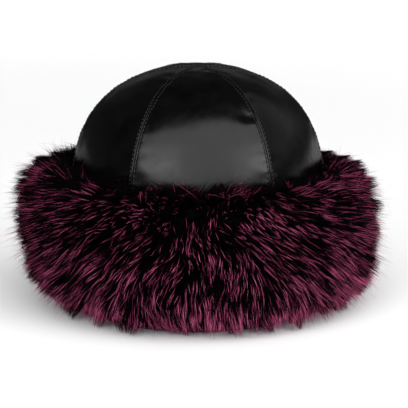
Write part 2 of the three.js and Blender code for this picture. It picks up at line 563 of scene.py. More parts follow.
class MeshNodes(Nodes):
    """A short way to build a modifier's nodes, with named inputs."""

    def __init__(self, name: str, kinds: dict[str, tuple[str, ...]]) -> None:
        """Starts a tree with one mesh in and one mesh out.

        Args:
            name: The tree's name.
            kinds: The names of its other inputs, by their kind, such as Float.
        """
        super().__init__(bpy.data.node_groups.new(name, "GeometryNodeTree"))
        sockets = [("Geometry", "Geometry")]
        sockets += [(name, kind) for kind, names in kinds.items() for name in names]
        for name, kind in sockets:
            self.tree.interface.new_socket(name, in_out="INPUT", socket_type=f"NodeSocket{kind}")
        self.tree.interface.new_socket("Geometry", in_out="OUTPUT", socket_type="NodeSocketGeometry")
        entry = self.add("NodeGroupInput")
        self.given = {name: entry.outputs[name] for name, _ in sockets}

    def vector(self, operation: str, first: Any, second: Any = None) -> Socket:
        """Adds a sum of one or two vectors, and returns its result."""
        node = self.add("ShaderNodeVectorMath", {0: first, 1: second}, operation=operation)
        return node.outputs[0]

    def scaled(self, vector: Any, number: Any) -> Socket:
        """Adds a vector times a number, and returns its result."""
        node = self.add("ShaderNodeVectorMath", {0: vector, "Scale": number}, operation="SCALE")
        return node.outputs[0]

    def shifted(self, seed: Socket, shift: int) -> Socket:
        """Adds a whole number to a seed, and returns the new seed."""
        return self.add("FunctionNodeIntegerMath", {0: seed, 1: shift}, operation="ADD").outputs[0]

    def attribute(self, name: str, kind: str = "FLOAT_VECTOR") -> Socket:
        """Reads a named attribute."""
        node = self.add("GeometryNodeInputNamedAttribute", {"Name": name}, data_type=kind)
        return node.outputs["Attribute"]

    def sample(self, geometry: Socket, value: Socket, index: Socket, kind: str) -> Socket:
        """Reads a value of a kind at one numbered point of a geometry."""
        inputs = {"Geometry": geometry, "Index": index, "Value": value}
        return self.add("GeometryNodeSampleIndex", inputs, data_type=kind).outputs["Value"]

    def store(self, geometry: Socket, name: str, value: Any, kind: str, domain: str = "POINT") -> Socket:
        """Stores a named attribute.

        Args:
            geometry: The geometry.
            name: The attribute's name.
            value: Its value.
            kind: Its kind.
            domain: Whether it is kept on points or on faces' corners.

        Returns:
            The geometry with the attribute.
        """
        inputs = {"Geometry": geometry, "Name": name, "Value": value}
        node = self.add("GeometryNodeStoreNamedAttribute", inputs, data_type=kind, domain=domain)
        return node.outputs["Geometry"]

    def random(self, low: Any, high: Any, seed: Socket, shift: int) -> Socket:
        """Adds a random number, or a random vector if low is one.

        Args:
            low: The least it can be.
            high: The most it can be.
            seed: Fixes the draw.
            shift: Added to the seed.

        Returns:
            The random value.
        """
        is_vector = isinstance(low, tuple)
        first = 0 if is_vector else 2
        inputs = {first: low, first + 1: high, "Seed": self.shifted(seed, shift)}
        kind = "FLOAT_VECTOR" if is_vector else "FLOAT"
        return self.add("FunctionNodeRandomValue", inputs, data_type=kind).outputs[0 if is_vector else 1]

    def random_vector(self, size: float, seed: Socket, shift: int) -> Socket:
        """Adds a random vector whose parts go from -size to size, and returns it."""
        return self.random((-size, -size, -size), (size, size, size), seed, shift)

    def copies(self, points: Socket, shape: Socket, turn: Any = None, size: Any = None) -> Socket:
        """Puts a copy of a shape on every point.

        Args:
            points: The points.
            shape: The shape.
            turn: How each copy is turned.
            size: How large it is.

        Returns:
            The copies, made real.
        """
        inputs = {"Points": points, "Instance": shape, "Rotation": turn, "Scale": size}
        laid = self.add("GeometryNodeInstanceOnPoints", inputs)
        return self.add("GeometryNodeRealizeInstances", {"Geometry": laid.outputs[0]}).outputs[0]

    def finish(self, geometry: Socket) -> None:
        """Ends the tree with smooth faces in the material that it is given.

        Args:
            geometry: What the tree has made.
        """
        smooth = self.add("GeometryNodeSetShadeSmooth", {"Geometry": geometry, "Shade Smooth": True})
        inputs = {"Geometry": smooth.outputs[0], "Material": self.given["Material"]}
        dressed = self.add("GeometryNodeSetMaterial", inputs).outputs[0]
        self.add("NodeGroupOutput", {"Geometry": dressed})

    def apply(self, piece: bpy.types.Object, values: dict[str, Any]) -> bpy.types.Object:
        """Runs the tree on a piece and makes the result its mesh.

        Args:
            piece: The piece.
            values: A value for each named input.

        Returns:
            The same piece.
        """
        modifier = piece.modifiers.new(self.tree.name, "NODES")
        modifier.node_group = self.tree
        for item in self.tree.interface.items_tree:
            if item.item_type == "SOCKET" and item.in_out == "INPUT" and item.name in values:
                modifier[item.identifier] = values[item.name]
        return make_plain(piece)


# Finishes


def mottle_group() -> bpy.types.NodeTree:
    """Builds the soft unevenness that every finish here but the dyed hair has.

    Returns:
        A shader group that takes a scale and puts out a value about 0.5.
    """
    name = "soft_mottle"
    if name in bpy.data.node_groups:
        return bpy.data.node_groups[name]
    nodes = ShaderNodes(bpy.data.node_groups.new(name, "ShaderNodeTree"))
    for socket, side in (("Scale", "INPUT"), ("Value", "OUTPUT")):
        nodes.tree.interface.new_socket(socket, in_out=side, socket_type="NodeSocketFloat")
    scale = nodes.add("NodeGroupInput").outputs["Scale"]
    inputs = {"Vector": nodes.place(), "Scale": scale, "Detail": 4.0, "Roughness": 0.6}
    noise = nodes.add("ShaderNodeTexNoise", inputs)
    nodes.add("NodeGroupOutput", {"Value": noise.outputs["Fac"]})
    return nodes.tree


@dataclass(frozen=True)
class SmoothLeather:
    """Thin black leather with a soft shine, a fine grain and faint creases."""

    dark: Colour = (0.0008, 0.0008, 0.0009)
    light: Colour = (0.0020, 0.0020, 0.0022)
    tone_scale: float = 60.0
    shine_scale: float = 170.0
    mottle_span: Span = (0.3, 0.7)
    roughness: Span = (0.19, 0.27)
    specular: float = 0.25
    grain_scale: float = 1500.0
    grain_share: float = 0.25  # of the relief, beside the creases
    crease_scale: float = 90.0
    crease_detail: float = 3.0
    crease_distortion: float = 0.6
    relief_strength: float = 0.12
    relief_depth: float = 0.0004

    def make(self) -> Material:
        """Builds the material.

        Returns:
            The material.
        """
        surface = Surface("black_leather")
        tone = surface.ramp(surface.mottle(self.tone_scale), self.mottle_span)
        shine = surface.ramp(surface.mottle(self.shine_scale), self.mottle_span, self.roughness)
        colour = surface.mix(tone, self.dark, self.light)
        surface.dress({"Base Color": colour, "Roughness": shine, "Specular IOR Level": self.specular})
        inputs = {"Vector": surface.place(), "Scale": self.grain_scale}
        cells = surface.add("ShaderNodeTexVoronoi", inputs).outputs["Distance"]
        inputs |= {"Scale": self.crease_scale, "Detail": self.crease_detail}
        inputs |= {"Distortion": self.crease_distortion}
        creases = surface.add("ShaderNodeTexNoise", inputs).outputs["Fac"]
        relief = surface.math("ADD", surface.math("MULTIPLY", cells, self.grain_share), creases)
        surface.bump(relief, self.relief_strength, self.relief_depth)
        return surface.material


@dataclass(frozen=True)
class MottledFinish:
    """A matt finish whose tone changes softly over the surface."""

    name: str
    dark: Colour
    light: Colour
    scale: float  # of the changes
    span: Span  # of the mottle's value, over which dark turns to light
    roughness: float
    specular: float
    relief_scale: float = 0.0
    relief_strength: float = 0.0  # 0 for no relief
    relief_depth: float = 0.0

    def make(self) -> Material:
        """Builds the material.

        Returns:
            The material.
        """
        surface = Surface(self.name)
        colour = surface.mix(surface.ramp(surface.mottle(self.scale), self.span), self.dark, self.light)
        inputs = {"Base Color": colour, "Roughness": self.roughness, "Specular IOR Level": self.specular}
        surface.dress(inputs)
        if self.relief_strength:
            surface.bump(surface.mottle(self.relief_scale), self.relief_strength, self.relief_depth)
        return surface.material


# The leather's plain reverse, and the hide that the fur grows on
SUEDE = MottledFinish(
    "dark_suede", dark=(0.010, 0.009, 0.009), light=(0.030, 0.026, 0.025), scale=420.0, span=(0.3, 0.7),
    roughness=0.92, specular=0.2, relief_scale=1800.0, relief_strength=0.3, relief_depth=0.0005,
)
# Polyester thread with its twist
THREAD = MottledFinish(
    "black_thread", dark=(0.004, 0.004, 0.0045), light=(0.008, 0.008, 0.009), scale=2600.0,
    span=(0.35, 0.65), roughness=0.42, specular=0.45,
)
# The dense wool at the hair's roots
UNDERWOOL = MottledFinish(
    "dark_underwool", dark=(0.0007, 0.0004, 0.0005), light=(0.00112, 0.00064, 0.0008), scale=300.0,
    span=(0.4, 0.7), roughness=0.95, specular=0.1, relief_scale=1200.0, relief_strength=0.6,
    relief_depth=0.001,
)


@dataclass(frozen=True)
class DyedFur:
    """Long hair, nearly black at the root and black, burgundy or magenta at the tip.

    Each hair's tone is where it lies across its bake map, and its root and tip are the map's foot and
    head, so the colour of a hair is one upright line of that map.
    """

    root: Colour = (0.0007, 0.0004, 0.0005)
    black_tip: Colour = (0.0014, 0.0007, 0.0010)
    burgundy: Colour = (0.31, 0.041, 0.112)
    magenta: Colour = (0.93, 0.19, 0.415)
    first_dyed: Span = (0.45, 0.55)  # the tones between which hair turns from black to burgundy
    dyed: Span = (0.5, 1.0)  # and from burgundy to magenta
    colour_along: Span = (0.25, 0.9)  # where along a hair the tip's colour comes in
    roughness: float = 0.6
    specular: float = 0.02

    def make(self) -> Material:
        """Builds the material.

        Returns:
            The material.
        """
        surface = Surface("dyed_fur")
        spot = surface.add("ShaderNodeUVMap", uv_map=BAKE_MAP).outputs[0]
        parts = surface.add("ShaderNodeSeparateXYZ", {0: spot})
        tone, along = parts.outputs[0], parts.outputs[1]
        dye = surface.mix(surface.ramp(tone, self.dyed), self.burgundy, self.magenta)
        tip = surface.mix(surface.ramp(tone, self.first_dyed), self.black_tip, dye)
        colour = surface.mix(surface.ramp(along, self.colour_along), self.root, tip)
        inputs = {"Base Color": colour, "Roughness": self.roughness, "Specular IOR Level": self.specular}
        surface.dress(inputs)
        return surface.material


@dataclass(frozen=True)
class PaleFloor:
    """A plain matt floor, as bright as the surround far from the hat, and dimmer in reflections."""

    colour: Colour = (0.9, 0.9, 0.9)
    darkest: float = 0.985  # share of the colour
    mottle_scale: float = 2.0
    mottle_span: Span = (0.3, 0.7)
    roughness: float = 0.9
    glow: float = 0.65
    glow_start: Span = (0.4, 3.2)  # metres from the hat where the glow starts and is full
    mirror_loss: float = 0.45  # how much darker it looks in shiny leather

    def make(self) -> Material:
        """Builds the material.

        Returns:
            The material.
        """
        surface = Surface("pale_floor")
        path = surface.add("ShaderNodeLightPath")
        tone = surface.ramp(surface.mottle(self.mottle_scale), self.mottle_span)
        plain = surface.mix(tone, tuple(self.darkest * part for part in self.colour), self.colour)
        loss = surface.math("MULTIPLY", path.outputs["Is Glossy Ray"], self.mirror_loss)
        colour = surface.mix(loss, plain, (0.0, 0.0, 0.0))
        length = surface.add("ShaderNodeVectorMath", {0: surface.place()}, operation="LENGTH")
        glow = surface.ramp(length.outputs["Value"], self.glow_start, (0.0, self.glow))
        seen = surface.math("MULTIPLY", glow, path.outputs["Is Camera Ray"])
        surface.dress({"Base Color": colour, "Roughness": self.roughness})
        surface.dress({"Emission Color": WHITE, "Emission Strength": seen})
        return surface.material


# The crown


@dataclass(frozen=True)
class Dent:
    """A place where the thread pulls the leather in."""

    gore: int
    across: float
    climb: float
    depth: float  # below 0 where the leather bulges instead
    width: float


@dataclass(frozen=True)
class SewnRelief:
    """How far the leather of the gores stands out once it is sewn."""

    shape: CrownShape
    seam_dip: float = 0.6  # how far an edge turns in
    seam_roll: float = 0.4  # over what distance it turns in
    stitch_distance: float = 1.75  # from the seam to the topstitching
    stitch_pitch: float = 3.2
    groove_depth: float = 0.12
    groove_width: float = 0.6
    tension: Waves = Waves(0.5, 14.0, 5)  # how unevenly the thread pulls
    top_flatness: float = 0.55  # how much less a seam stands out near the top
    top_climbs: Span = (0.6, 0.85)
    puckers: Waves = Waves(0.3, 8.5, 11)
    pucker_band: Span = (4.2, 4.5)
    pinch: float = 0.14  # how far the leather rises and falls with each stitch
    pinch_band: Span = (2.3, 1.3)
    seam_length: float = 190.0
    seam_shift: float = 37.0  # keeps the pattern of one seam apart from the next
    side_shift: float = 11.0  # and those of its two sides
    broad_swells: Waves = Waves(0.55, 62.0, 3)
    small_swells: Waves = Waves(0.22, 24.0, 23)
    swell_start: Span = (3.0, 16.0)  # distances from the seam
    full_width: float = 11.0  # a gore narrower than twice this has less relief
    least_size: float = 0.02
    dents: tuple[Dent, ...] = (  # gore, across, climb, depth, width
        Dent(0, -0.82, 0.73, 0.9, 7.0),
        Dent(0, 0.84, 0.69, 1.1, 7.0),
        Dent(0, -0.86, 0.50, -0.5, 6.0),
        Dent(1, 0.80, 0.62, 0.6, 9.0),
        Dent(3, 0.80, 0.66, 0.9, 7.0),
        Dent(4, -0.82, 0.58, 0.8, 8.0),
        Dent(5, -0.80, 0.74, 0.7, 9.0),
    )

    def size(self, half: Array) -> Array:
        """Gives how much of its relief a gore has where half of it is so wide."""
        return np.clip(half / self.full_width, self.least_size, 1)

    def at(self, gore: int, across: Array, climb: Array) -> Array:
        """Gives the relief.

        Args:
            gore: The gore's number.
            across: From -1 at its left seam to 1 at its right seam.
            climb: From 0 at the rim to 1 at the top.

        Returns:
            How far the leather stands out from the plain gore.
        """
        half = self.shape.half_width_at(gore, climb)
        size = self.size(half)
        distance = (1 - np.abs(across)) * half / size
        seam = np.round(gore * 2 + np.sign(across)) % (2 * self.shape.gore_count)
        apart = seam * self.seam_shift + np.sign(across) * self.side_shift
        line = np.stack([climb * self.seam_length, apart, np.zeros_like(climb)], axis=-1)
        edge = -self.seam_dip * bell(distance, 0.0, self.seam_roll)
        groove = -self.groove_depth * bell(distance, self.stitch_distance, self.groove_width)
        calm = 1 - self.top_flatness * smooth_step(climb, *self.top_climbs)
        pucker = self.puckers.at(line) * bell(distance, *self.pucker_band)
        beat = np.sin(2 * math.pi * line[..., 0] / self.stitch_pitch)
        pinch = self.pinch * beat * bell(distance, *self.pinch_band)
        plain = self.shape.gore_point(gore, across, climb)
        swell = self.broad_swells.at(plain, gore) + self.small_swells.at(plain)
        sewn = (edge + groove * (1 + self.tension.at(line))) * calm + pucker + pinch
        return size * (sewn + swell * smooth_step(distance, *self.swell_start)) - self.dented(gore, plain)

    def dented(self, gore: int, plain: Array) -> Array:
        """Gives how deep the dents beside the seams are.

        Args:
            gore: The gore's number.
            plain: Points of the plain gore.

        Returns:
            The depth at each point.
        """
        depth = np.zeros(plain.shape[:-1])
        for dent in self.dents:
            if dent.gore == gore:
                spot = self.shape.gore_point(gore, np.array([dent.across]), np.array([dent.climb]))[0]
                depth += dent.depth * bell(np.linalg.norm(plain - spot, axis=-1), 0.0, dent.width)
        return depth


@dataclass(frozen=True)
class Topstitching:
    """A row of stitches on each side of every seam."""

    relief: SewnRelief
    length: float = 2.3
    radius: float = 0.4
    lift: float = 0.45  # how much of its radius the thread stands proud
    rows: int = 160
    room: float = 2.2  # a row ends where half a gore is this many stitch distances wide
    thread: MottledFinish = THREAD

    def paths(self) -> tuple[Array, Array]:
        """Gives the lines that the stitches follow.

        Returns:
            The points, and the pairs of points that are joined.
        """
        shape, distance = self.relief.shape, self.relief.stitch_distance
        points: list[Array] = []
        edges: list[Array] = []
        climb = shape.shown_climbs(self.rows)
        for gore in range(shape.gore_count):
            half = shape.half_width_at(gore, climb)
            is_wide = half > distance * self.room
            wide, half = climb[is_wide], half[is_wide]
            share = 1 - distance * self.relief.size(half) / half
            for across in (-share, share):
                lift = self.relief.at(gore, across, wide) + self.lift * self.radius
                pairs = np.arange(len(wide) - 1) + sum(len(row) for row in points)
                points.append(shape.gore_point(gore, across, wide, lift))
                edges.append(np.stack([pairs, pairs + 1], axis=1))
        return np.concatenate(points), np.concatenate(edges)

    def tree(self) -> MeshNodes:
        """Builds the tree that lays stitches along lines.

        Returns:
            The tree.
        """
        kinds = {"Float": ("Pitch", "Stitch Length", "Thread Radius"), "Material": ("Material",)}
        nodes = MeshNodes("topstitching", kinds)
        lines = nodes.add("GeometryNodeMeshToCurve", {"Mesh": nodes.given["Geometry"]}).outputs[0]
        inputs = {"Curve": lines, "Length": nodes.given["Pitch"]}
        points = nodes.add("GeometryNodeCurveToPoints", inputs, mode="LENGTH").outputs
        stitch = nodes.add("GeometryNodeMeshUVSphere", {"Segments": 6, "Rings": 5, "Radius": 1.0})
        inputs = {"Vector": points["Tangent"]}
        turn = nodes.add("FunctionNodeAlignRotationToVector", inputs, axis="Z").outputs[0]
        radius = nodes.given["Thread Radius"]
        half_length = nodes.math("MULTIPLY", nodes.given["Stitch Length"], 0.5)
        size = nodes.add("ShaderNodeCombineXYZ", {0: radius, 1: radius, 2: half_length}).outputs[0]
        nodes.finish(nodes.copies(points["Points"], stitch.outputs["Mesh"], turn, size))
        return nodes

    def build(self) -> bpy.types.Object:
        """Sews the stitches.

        Returns:
            All of them as one piece.
        """
        points, edges = self.paths()
        piece = make_object("seam_topstitching", points, edges=edges)
        values = {
            "Pitch": self.relief.stitch_pitch * MM,
            "Stitch Length": self.length * MM,
            "Thread Radius": self.radius * MM,
            "Material": self.thread.make(),
        }
        return self.tree().apply(piece, values)


@dataclass(frozen=True)
class LeatherCrown:
    """Six gores sewn edge to edge, with their topstitching."""

    shape: CrownShape
    names: tuple[str, ...] = ("front", "front_left", "back_left", "back", "back_right", "front_right")
    wall: float = 2.0
    inner_share: float = 0.4  # how much of a hollow shows on the leather's reverse
    seam_gap: float = 0.12
    least_half: float = 0.3  # half a gore counts as this wide at least, where the gap is cut
    hidden_rows: int = 7
    shown_rows: int = 108
    seam_columns: tuple[float, ...] = (  # distances from a seam, where a gore is widest
        0, 0.35, 0.8, 1.3, 1.75, 2.1, 2.5, 3.1, 3.9, 4.9, 6.2, 8, 10.5, 14, 19, 25.5, 33, 42,
    )
    widest_half: float = 52.4  # about half a gore's width there
    leather: SmoothLeather = SmoothLeather()
    reverse: MottledFinish = SUEDE

    def climbs(self) -> Array:
        """Gives the climbs of the rows, close together where they show.

        Returns:
            The climbs, from the rim to the top.
        """
        shown = self.shape.shown_climbs(self.shown_rows)
        hidden = np.linspace(0, shown[0], self.hidden_rows, endpoint=False)
        return np.concatenate([hidden, shown])

    def columns(self) -> Array:
        """Gives the places across a gore, close together beside the seams."""
        half = 1 - np.asarray(self.seam_columns) / self.widest_half
        return np.concatenate([-half, [0.0], half[::-1]])

    def make_gore(self, gore: int, relief: SewnRelief, materials: tuple[Material, ...]) -> bpy.types.Object:
        """Builds one gore as a closed wall.

        Args:
            gore: The gore's number.
            relief: What sewing does to its leather.
            materials: The outer leather, then its reverse.

        Returns:
            The gore.
        """
        across, climb = np.meshgrid(self.columns(), self.climbs())
        half = np.maximum(self.shape.half_width_at(gore, climb), self.least_half)
        full = across * self.shape.half_gore
        turn = full * (1 - self.seam_gap / 2 / half)
        middle = self.shape.middle(gore)
        out = relief.at(gore, across, climb)
        outer = self.shape.surface(middle, turn, climb, out)
        inner = self.shape.surface(middle, full, climb, np.minimum(out, 0) * self.inner_share - self.wall)
        rings = np.concatenate([outer, inner[:, ::-1]], axis=1)
        rows, count = rings.shape[:2]
        faces = grid_faces(rows, count, False, True)
        strip = np.arange(count // 2 - 1)
        cap = np.stack([strip, strip + 1, count - 2 - strip, count - 1 - strip], axis=1)
        faces = np.concatenate([faces, cap[:, ::-1], cap + (rows - 1) * count])
        column = faces[:, 0] % count
        is_inner = (column >= count // 2) & (column < count - 1)
        name = f"crown_{self.names[gore]}"
        return make_object(name, rings, faces, materials=materials, is_second=is_inner)

    def build(self) -> list[bpy.types.Object]:
        """Builds the crown.

        Returns:
            Its gores and its stitches.
        """
        relief = SewnRelief(self.shape)
        materials = (self.leather.make(), self.reverse.make())
        pieces = []
        for gore, name in enumerate(self.names):
            piece = self.make_gore(gore, relief, materials)
            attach(piece, BODY)
            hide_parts(f"crown_gore_{name}")
            pieces.append(piece)
        stitches = Topstitching(relief).build()
        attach(stitches, BODY)
        return [*pieces, stitches]


# The cuff


@dataclass(frozen=True)
class WoolRing:
    """The closed ring of dense wool: its outside, its top, its bore against the crown and its mouth."""

    shape: FurShape
    angles: int = 200
    places: int = 44
    depth: float = 0.48
    tufts: tuple[Waves, ...] = (Waves(0.07, 13.0, 41), Waves(0.05, 6.5, 42))
    foot_depth: float = 0.3  # how much deeper the foot is
    foot_places: Span = (0.0, 0.08)
    top_loss: float = 0.42  # how much less deep the top is
    top_places: Span = (0.72, 1.0)
    crown_clearance: float = 0.45
    bore_climb: float = 0.55
    bore_rows: int = 14
    mouth_flare: float = 9.0
    wool: MottledFinish = UNDERWOOL
    hide: MottledFinish = SUEDE

    def outside(self, angle: Array) -> Array:
        """Gives the outside's points.

        Args:
            angle: The angles round the hat, as a column.

        Returns:
            The points, from the foot up.
        """
        place = np.linspace(0, 1, self.places)[None, :]
        plain = self.shape.point(angle, place, 1.0)
        tuft = sum(waves.at(plain) for waves in self.tufts)
        foot = 1 - smooth_step(place, *self.foot_places)
        top = smooth_step(place, *self.top_places)
        depth = self.depth + self.foot_depth * foot - self.top_loss * top + tuft * (1 - foot) * (1 - top)
        return self.shape.point(angle, place, depth)

    def bore(self, angle: Array, top: Array) -> Array:
        """Gives the bore's points, clear of the crown and no higher than the wool's top.

        Args:
            angle: The angles round the hat, as a column.
            top: The top's height at each of them.

        Returns:
            The points, from the top down.
        """
        climb = np.linspace(self.bore_climb, 0.0, self.bore_rows)[None, :]
        points = self.shape.crown.surface_at(angle, climb, self.crown_clearance)
        first_low = np.argmax(points[..., 2] <= top[:, None], axis=1)
        for ring, low in enumerate(first_low):
            start = points[ring, low]
            lift = np.array([0, 0, top[ring] - start[2]])
            points[ring, :low] = start + np.linspace(1, 0, low + 1)[:low, None] * lift
        return points

    def mouth(self, rim: Array) -> Array:
        """Gives the mouth's points.

        Args:
            rim: The bore's lowest points.

        Returns:
            Two for each of them, the second on the floor.
        """
        radius = np.hypot(rim[:, 0], rim[:, 1])
        wider = rim[:, :2] * ((radius + self.mouth_flare) / radius)[:, None]
        hem = np.concatenate([wider, np.full((len(rim), 1), self.shape.floor_clearance)], axis=1)
        return np.stack([(rim + hem) / 2, hem], axis=1)

    def build(self) -> bpy.types.Object:
        """Builds the ring.

        Returns:
            The ring, with wool outside and hide inside.
        """
        angle = np.linspace(2 * math.pi, 0, self.angles, endpoint=False)[:, None]
        outside = self.outside(angle)
        bore = self.bore(angle, outside[:, -1, 2])
        rings = np.concatenate([outside, bore, self.mouth(bore[:, -1])], axis=1)
        rows, count = rings.shape[:2]
        faces = grid_faces(rows, count, True, True)
        is_hide = faces[:, 0] % count >= self.places
        materials = (self.wool.make(), self.hide.make())
        return make_object("fur_underwool", rings, faces, materials=materials, is_second=is_hide)


@dataclass(frozen=True)
class Coat:
    """One kind of hair in the cuff."""

    name: str
    count: int
    segments: int  # of each hair, from its root to its tip
    radius: float
    reach: float  # share of the fur's depth that the hairs fill
    reach_spread: float
    stray: float  # how far a tip strays by itself
    tuft_spacing: float
    tuft_pull: float
    tuft_tone: float  # share of a hair's tone that its whole tuft has
    lock_spacing: float
    lock_pull: float
    tone: Span
    seed: int
    places: Span = (0.015, 0.992)
    upright: float = 0.0  # how little the hair is combed down
    root: float = 0.35  # depth at which the hairs start
    lean: float = 0.0  # how far they lean sideways, as an angle round the hat


# The hair tree's inputs that are a coat's own numbers, and what each is multiplied by
COAT_INPUTS = {
    "radius": MM, "reach": 1, "reach_spread": 1, "stray": MM, "tuft_spacing": MM, "tuft_pull": 1,
    "tuft_tone": 1, "lock_spacing": MM, "lock_pull": 1, "segments": 1,
}


@dataclass(frozen=True)
class DyeAndPaintedLightDrift:
    """How the share of dyed, bright hair changes over the fur: random patches of dye, and painted light and
    shade, with more bright hair at the foot and less on the left, at the front top (least on the right) and
    about the middle of the sides; at 0.5 a coat keeps its own tones.
    """

    usual: float = 0.32
    # Random patches of dye; the terms after it are painted light and shade
    patches: Waves = Waves(0.5, 42.0, 80)
    # Painted light: more bright hair at the foot
    painted_foot_light_gain: float = 3.0  # times how far a place lies below low_end
    low_end: float = 0.6
    # Painted shade: fewer bright hairs on the left
    painted_left_shade: float = 0.32
    # Painted shade: fewer bright hairs in front at the top, eased at the sides and on the right
    top_loss: float = 1.1  # in front, at the top
    top_places: Span = (0.72, 1.0)
    top_shade_side_ease: float = 0.35  # how much less is lost there at the sides
    top_shade_right_ease: float = 0.3  # and on the right
    # Painted shade: fewer bright hairs at the sides, about the middle height
    painted_side_shade: float = 0.35
    side_band: Span = (0.6, 0.2)

    def at(self, points: Array, place: Array, right: Array) -> Array:
        """Gives the drift: patches of dye, with painted light and shade.

        Args:
            points: Points of the fur's outline.
            place: Their places from the foot to the top.
            right: From -1 on the left of the hat to 1 on the right.

        Returns:
            Its value at each point.
        """
        side = np.abs(right)
        drift = self.usual + self.patches.at(points) + self.painted_foot_light_gain * np.maximum(self.low_end - place, 0)
        drift -= self.painted_left_shade * np.maximum(-right, 0)
        top_loss = self.top_loss - self.top_shade_side_ease * side - self.top_shade_right_ease * right
        drift -= top_loss * smooth_step(place, *self.top_places)
        return drift - self.painted_side_shade * side * bell(place, *self.side_band)


@dataclass(frozen=True)
class HairSheet:
    """The hidden sheet that a coat grows from, with each root's hair on it as numbers."""

    shape: FurShape
    columns: int = 48
    rows: int = 60
    wander: Waves = Waves(0.012, 30.0, 77)  # of the columns, as an angle
    root_places: Span = (0.7, 1.0)  # where the roots draw back towards the crown
    root_retreat: float = 0.85  # share of their depth that the topmost roots lose
    top_shift: float = 3.2  # how much nearer the crown they are besides
    comb: tuple[float, ...] = (0.0, 0.0, 0.005, 0.01, 0.01, 0.01, 0.01, 0.015, 0.03, 0.05, 0.02, -0.01)
    parting: Waves = Waves(0.8, 38.0, 79)  # how unevenly the hair is combed
    swirl: Waves = Waves(0.035, 55.0, 78)  # of the tips, as an angle
    leaning: Waves = Waves(1.0, 34.0, 81)  # of a coat that leans sideways
    droop: float = 1.5
    droop_end: Span = (0.6, 0.9)
    top_growth: float = 0.25  # how much longer the topmost hairs are, times the three shares below
    front_growth: float = 0.3
    side_growth: float = 0.45  # added at both sides
    right_growth: float = -0.35  # added on the right, and taken away on the left
    growth_places: Span = (0.85, 1.0)
    back_drop: float = 6.5  # how much lower the topmost hairs lie at the back
    back_start: Span = (0.0, 0.5)  # from 0 at the sides to 1 at the back
    back_places: Span = (0.6, 1.0)
    right_drop: float = 6.0  # how much lower they lie on the right
    right_places: Span = (0.75, 1.0)
    foot_clumping: float = 1.0  # how much more the lowest hairs gather into locks
    foot_places: Span = (0.05, 0.4)
    top_clumping: float = 0.7  # and the topmost ones
    top_places: Span = (0.75, 0.95)
    least_area: float = 1e-9  # of a root, so that nothing is divided by 0
    # The share of bright hair over the fur: patches of dye, and painted light and shade
    drift: DyeAndPaintedLightDrift = DyeAndPaintedLightDrift()

    def roots(self, coat: Coat, angle: Array, place: Array) -> Array:
        """Gives the roots.

        Args:
            coat: The kind of hair.
            angle: The angle of each point of the sheet.
            place: Its place from the foot to the top.

        Returns:
            The roots' points.
        """
        near_top = smooth_step(place, *self.root_places)
        root = self.shape.point(angle, place, coat.root * (1 - self.root_retreat * near_top))
        return root - polar(self.top_shift * near_top, angle, 0.0)

    def tips(self, coat: Coat, angle: Array, place: Array, root: Array, straight: Array) -> Array:
        """Gives the tips of hair that is combed down and lies as in the photograph.

        Args:
            coat: The kind of hair.
            angle: The angle of each point of the sheet.
            place: Its place from the foot to the top.
            root: Its root.
            straight: Where its tip would be uncombed.

        Returns:
            The tips' points.
        """
        comb = np.interp(place, np.linspace(0, 1, len(self.comb)), self.comb)
        combed = place - comb * (1 + self.parting.at(straight)) * (1 - coat.upright)
        swirl = self.swirl.at(straight) + coat.lean * self.leaning.at(straight)
        tip = self.shape.point(angle + swirl, combed, 1.0)
        tip[..., 2] -= self.droop * (1 - smooth_step(place, *self.droop_end))
        right, back = np.cos(angle), np.maximum(np.sin(angle), 0)
        growth = self.front_growth + self.side_growth * np.abs(right) + self.right_growth * right
        growth = self.top_growth * growth * (1 - back)
        tip += (tip - root) * (growth * smooth_step(place, *self.growth_places))[..., None]
        behind = smooth_step(back, *self.back_start)
        tip[..., 2] -= self.back_drop * behind * smooth_step(place, *self.back_places)
        tip[..., 2] -= self.right_drop * np.maximum(right, 0) * smooth_step(place, *self.right_places)
        tip[..., 2] = np.maximum(tip[..., 2], self.shape.floor_clearance)
        return tip

    def area(self, points: Array) -> Array:
        """Gives the area that each point of a grid stands for."""
        along, across = np.gradient(points, axis=0), np.gradient(points, axis=1)
        return np.linalg.norm(np.cross(along, across), axis=-1)

    def build(self, name: str, coat: Coat, start: float, end: float) -> bpy.types.Object:
        """Builds the sheet.

        Args:
            name: The piece's name.
            coat: The kind of hair.
            start: The angle where its sector starts.
            end: The angle where it ends.

        Returns:
            The sheet.
        """
        columns, rows = np.linspace(start, end, self.columns), np.linspace(*coat.places, self.rows)
        angle, place = np.meshgrid(columns, rows)
        angle = angle + self.wander.at(self.shape.point(angle, place, 1.0))
        straight = self.shape.point(angle, place, 1.0)
        root = self.roots(coat, angle, place)
        tip = self.tips(coat, angle, place, root, straight)
        clumping = 1 + self.foot_clumping * (1 - smooth_step(place, *self.foot_places))
        clumping += self.top_clumping * smooth_step(place, *self.top_places)
        piece = make_object(name, root, grid_faces(*angle.shape, False, False))
        numbers = {
            "reach": (tip - root).reshape(-1, 3) * MM,
            "rise": (straight - root).reshape(-1, 3) * MM,
            "crowding": (self.area(straight) / np.maximum(self.area(root), self.least_area)).ravel(),
            "drift": self.drift.at(straight, place, np.cos(angle)).ravel(),
            "clumping": clumping.ravel(),
        }
        for attribute, values in numbers.items():
            set_attribute(piece.data, attribute, values)
        return piece


